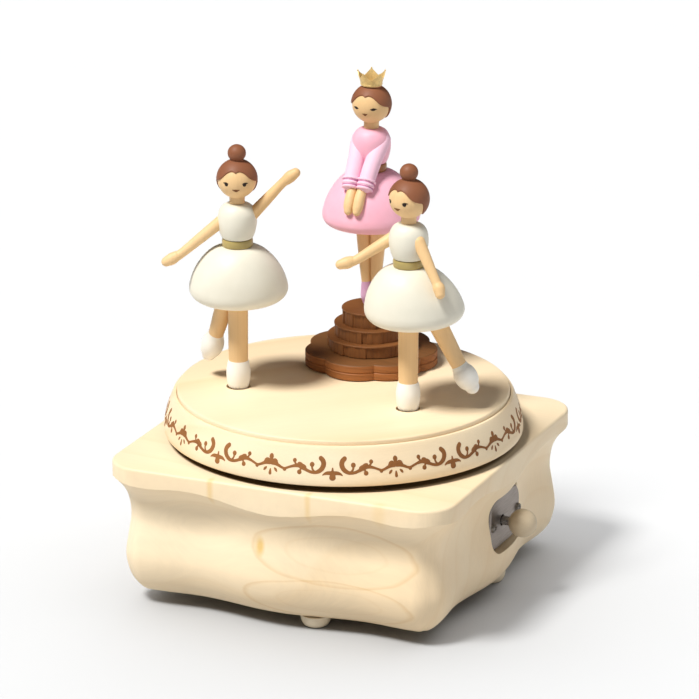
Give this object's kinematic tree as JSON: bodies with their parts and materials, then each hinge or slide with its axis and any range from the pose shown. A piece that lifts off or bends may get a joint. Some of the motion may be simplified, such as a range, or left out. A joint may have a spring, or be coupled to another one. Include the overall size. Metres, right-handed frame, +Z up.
{
  "type": "music box automaton",
  "caption": "Square carved wooden music box with a round turntable on top, twirling dolls on geared spindles, a crowned doll on a stepped pedestal and a side stop knob.",
  "frame": {"origin": "on the turntable's axis, in the plane of the bottom cover's underside, 4.3 mm above the surface the feet stand on", "axes": "+Z up along the turntable's axis, -Y out of the front that the pedestal figure faces, +X out of the side with the stop knob"},
  "size_m": [0.1284, 0.12, 0.166],
  "materials": {
    "maple_block": "pale maple, sanded, clear satin oil",
    "maple_trim": "pale maple, sanded, clear satin oil",
    "maple_turned": "turned pale maple, satin",
    "maple_disc": "pale maple disc, fine straight grain, satin",
    "walnut": "dark brown stained wood, satin",
    "brushed_plate": "thin brushed plate",
    "screw_steel": "plain steel screws",
    "polished_steel": "bright drawn rod",
    "comb_steel": "hardened and ground comb",
    "cast_zinc": "die-cast bedplate, as cast",
    "brass_works": "machined brass",
    "gear_nylon": "moulded natural nylon",
    "ivory_dress": "turned wood, ivory satin paint",
    "belt_gold": "turned wood, olive gold paint",
    "hair_paint": "turned wood, reddish brown paint",
    "skin_wood": "turned wood, clear satin lacquer",
    "pink_dress": "turned wood, pink satin paint",
    "pink_sleeve": "turned wood, pale pink satin paint",
    "princess_belt": "turned wood, brownish gold paint",
    "crown_gold": "gold painted"
  },
  "bodies": {
    "base": {"base_body": "maple_block", "bottom_cover": "maple_trim", "cover_screw_1": "screw_steel", "cover_screw_2": "screw_steel", "cover_screw_3": "screw_steel", "foot_1": "maple_trim", "foot_2": "maple_trim", "foot_3": "maple_trim", "foot_4": "maple_trim", "knob_plate": "brushed_plate", "plate_screw_1": "screw_steel", "plate_screw_2": "screw_steel", "movement_bedplate": "cast_zinc", "comb": "comb_steel", "comb_screw": "screw_steel", "sun_gear": "gear_nylon", "shaft_bush": "brass_works"},
    "turntable": {"turntable_ring": "maple_turned", "turntable_disc": "maple_disc", "output_shaft": "polished_steel", "output_pinion": "brass_works", "pedestal_base": "walnut", "pedestal_steps": "walnut", "princess_skirt": "pink_dress", "princess_bodice": "pink_dress", "princess_left_sleeve": "pink_sleeve", "princess_right_sleeve": "pink_sleeve", "princess_belt": "princess_belt", "princess_hair": "hair_paint", "princess_crown": "crown_gold", "princess_head": "skin_wood", "princess_left_hand": "skin_wood", "princess_right_hand": "skin_wood", "princess_legs": "skin_wood"},
    "left_dancer": {"left_dancer_skirt": "ivory_dress", "left_dancer_bodice": "ivory_dress", "left_dancer_belt": "belt_gold", "left_dancer_hair": "hair_paint", "left_dancer_head": "skin_wood", "left_dancer_standing_leg": "skin_wood", "left_dancer_free_leg": "skin_wood", "left_dancer_right_arm": "skin_wood", "left_dancer_left_arm": "skin_wood", "left_spindle_gear": "brass_works"},
    "right_dancer": {"right_dancer_skirt": "ivory_dress", "right_dancer_bodice": "ivory_dress", "right_dancer_belt": "belt_gold", "right_dancer_hair": "hair_paint", "right_dancer_head": "skin_wood", "right_dancer_standing_leg": "skin_wood", "right_dancer_free_leg": "skin_wood", "right_dancer_right_arm": "skin_wood", "right_dancer_left_arm": "skin_wood", "right_spindle_gear": "brass_works"},
    "barrel": {"spring_barrel": "brass_works"},
    "cylinder": {"pinned_cylinder": "brass_works"},
    "governor": {"governor_fly": "brass_works"},
    "key": {"winding_key": "brass_works"},
    "stop": {"stop_knob": "maple_turned", "stop_rod": "polished_steel"}
  },
  "joints": [
    {"name": "turntable_spin", "type": "hinge", "parent": "base", "child": "turntable", "pos_m": [0, 0, 0.0468], "axis": [0, 0, 1], "continuous": true},
    {"name": "left_dancer_spin", "type": "hinge", "parent": "turntable", "child": "left_dancer", "pos_m": [-0.03144, -0.0142, 0.0608], "axis": [0, 0, 1], "continuous": true},
    {"name": "right_dancer_spin", "type": "hinge", "parent": "turntable", "child": "right_dancer", "pos_m": [0.02828, -0.01271, 0.0608], "axis": [0, 0, 1], "continuous": true},
    {"name": "barrel_spin", "type": "hinge", "parent": "base", "child": "barrel", "pos_m": [-0.018, 0, 0.022], "axis": [0, 0, 1], "continuous": true},
    {"name": "cylinder_spin", "type": "hinge", "parent": "base", "child": "cylinder", "pos_m": [0.015, 0, 0.022], "axis": [1, 0, 0], "continuous": true},
    {"name": "governor_spin", "type": "hinge", "parent": "base", "child": "governor", "pos_m": [0.015, 0.0144, 0.022], "axis": [1, 0, 0], "continuous": true},
    {"name": "key_wind", "type": "hinge", "parent": "base", "child": "key", "pos_m": [-0.018, 0, 0.005], "axis": [0, 0, 1], "continuous": true},
    {"name": "stop_slide", "type": "slide", "parent": "base", "child": "stop", "axis": [1, 0, 0], "range_m": [-0.0022, 0]}
  ],
  "couplings": [
    {"joint": "left_dancer_spin", "follows": "turntable_spin", "ratio": 2.2857},
    {"joint": "right_dancer_spin", "follows": "turntable_spin", "ratio": 3.4286},
    {"joint": "barrel_spin", "follows": "turntable_spin", "ratio": -0.5},
    {"joint": "cylinder_spin", "follows": "turntable_spin", "ratio": -1},
    {"joint": "governor_spin", "follows": "turntable_spin", "ratio": 5}
  ]
}
